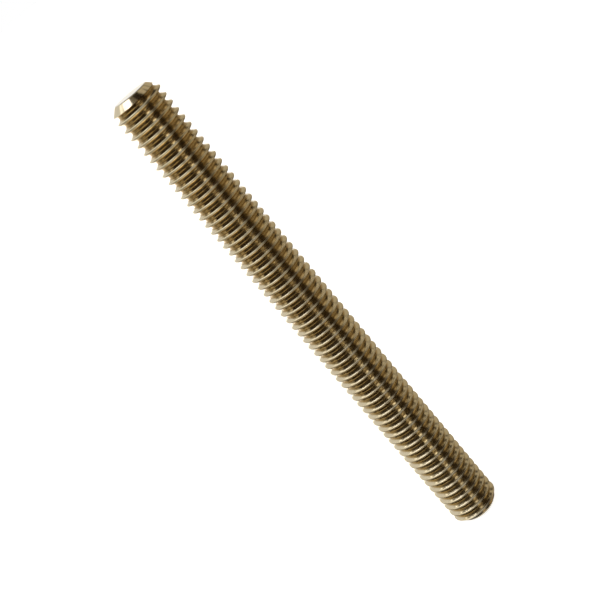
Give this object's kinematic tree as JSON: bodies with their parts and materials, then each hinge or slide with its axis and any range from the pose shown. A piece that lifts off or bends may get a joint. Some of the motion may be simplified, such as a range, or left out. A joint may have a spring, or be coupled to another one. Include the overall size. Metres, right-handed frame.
{
  "type": "threaded stud",
  "caption": "Headless round brass stud with a coarse right-hand thread over its whole length and a chamfer at each flat end, for joining two tapped or nutted parts.",
  "frame": {"origin": "middle of the flat face at the foot, which the stud stands on", "axes": "+Z along the stud's axis from the foot to the top, +X through the place that the thread's first crest is counted from"},
  "size_m": [0.0048, 0.0048, 0.05],
  "materials": {
    "brass": "bright cut brass, slightly satin along the thread"
  },
  "bodies": {
    "root": {"threaded_stud": "brass"}
  },
  "joints": []
}
